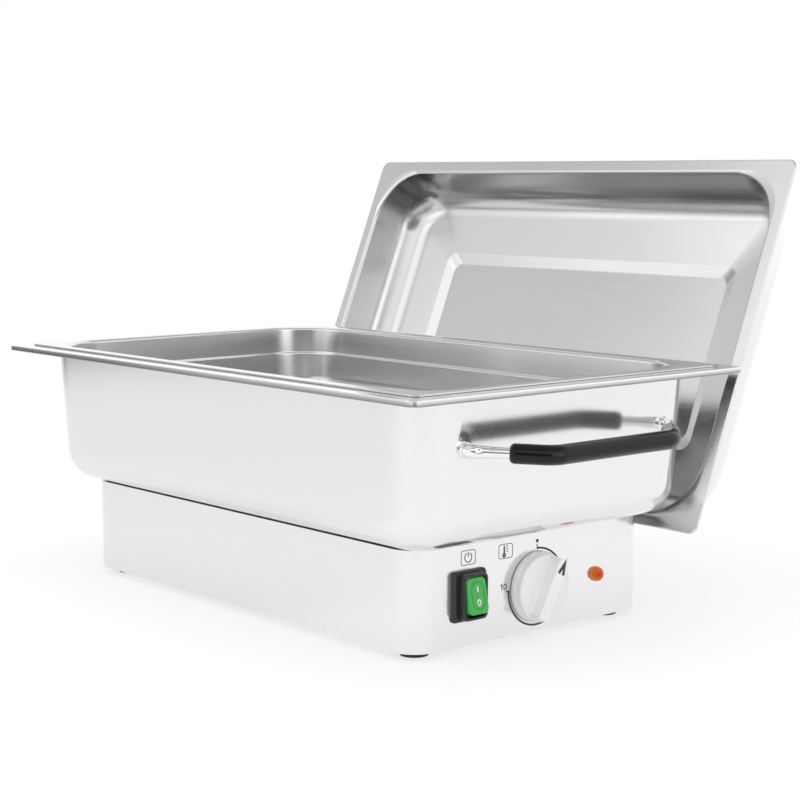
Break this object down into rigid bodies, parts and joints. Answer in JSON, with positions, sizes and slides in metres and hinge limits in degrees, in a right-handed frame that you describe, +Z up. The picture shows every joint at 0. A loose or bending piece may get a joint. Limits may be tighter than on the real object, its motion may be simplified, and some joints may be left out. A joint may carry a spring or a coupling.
{
  "type": "electric chafing dish",
  "caption": "Rectangular electric chafing dish: heated base with thermostat and switch, water pan with side handles, lift-out food pan, and lift-off domed lid standing open behind.",
  "frame": {"origin": "on the table, under the centre of the base", "axes": "+X along the dish towards the control panel, +Y to the back where the lid stands, +Z up"},
  "size_m": [0.6216, 0.4831, 0.3719],
  "materials": {
    "stainless": "satin polished stainless sheet",
    "chrome": "bright plated",
    "grip_black": "glossy black moulding",
    "case_black": "fine matt black moulding",
    "knob_grey": "pale grey satin moulding",
    "rocker_green": "clear green moulding",
    "lens_amber": "amber lens",
    "rubber": "matt black rubber",
    "zinc_steel": "zinc plated",
    "aluminium": "rolled plate",
    "element_sheath": "heat-darkened steel sheath",
    "glass_wool": "needled glass mat",
    "copper": "drawn copper",
    "brass": "turned brass",
    "terminal_white": "heat-proof moulding"
  },
  "bodies": {
    "base": {"water_pan": "stainless", "base_housing": "stainless", "right_lid_bracket": "stainless", "left_lid_bracket": "stainless", "right_handle_rod": "chrome", "right_handle_lugs": "chrome", "left_handle_rod": "chrome", "left_handle_lugs": "chrome", "right_handle_grip": "grip_black", "left_handle_grip": "grip_black", "switch_bezel": "case_black", "switch_body": "case_black", "indicator_body": "case_black", "indicator_nut": "case_black", "cord_gland": "case_black", "gland_nut": "case_black", "thermal_cutout": "case_black", "indicator_lens": "lens_amber", "base_seal": "rubber", "foot_front_right": "rubber", "foot_front_left": "rubber", "foot_back_right": "rubber", "foot_back_left": "rubber", "handle_rivets": "zinc_steel", "bottom_plate": "zinc_steel", "bottom_screws": "zinc_steel", "foot_screws": "zinc_steel", "pan_studs": "zinc_steel", "pan_nuts": "zinc_steel", "element_clamps": "zinc_steel", "heater_studs": "zinc_steel", "heater_nuts": "zinc_steel", "heat_shield": "zinc_steel", "thermostat_body": "zinc_steel", "thermostat_screws": "zinc_steel", "bulb_clip": "zinc_steel", "lid_bracket_screws": "zinc_steel", "heat_spreader": "aluminium", "heating_element": "element_sheath", "insulation_mat": "glass_wool", "thermostat_bulb": "copper", "switch_terminals": "brass", "terminal_screws": "brass", "earth_stud": "brass", "earth_nuts": "brass", "terminal_block": "terminal_white"},
    "lid": {"lid_shell": "stainless", "lid_handle_grip": "grip_black", "lid_handle_rod": "chrome", "lid_handle_lugs": "chrome", "lid_handle_studs": "zinc_steel"},
    "food_pan": {"food_pan": "stainless"},
    "knob": {"thermostat_knob": "knob_grey", "thermostat_shaft": "zinc_steel"},
    "rocker": {"switch_rocker": "rocker_green"}
  },
  "joints": [
    {"name": "lid_lift", "type": "slide", "parent": "base", "child": "lid", "axis": [0, 0.3746, 0.9272], "range_m": [0, 0.26]},
    {"name": "food_pan_lift", "type": "slide", "parent": "base", "child": "food_pan", "axis": [0, 0, 1], "range_m": [0, 0.12]},
    {"name": "thermostat_turn", "type": "hinge", "parent": "base", "child": "knob", "pos_m": [0.2205, 0.002, 0.041], "axis": [-1, 0, 0], "range_deg": [-28, 242]},
    {"name": "switch_rock", "type": "hinge", "parent": "base", "child": "rocker", "pos_m": [0.2245, -0.071, 0.045], "axis": [0, 1, 0], "range_deg": [0, 22]}
  ]
}
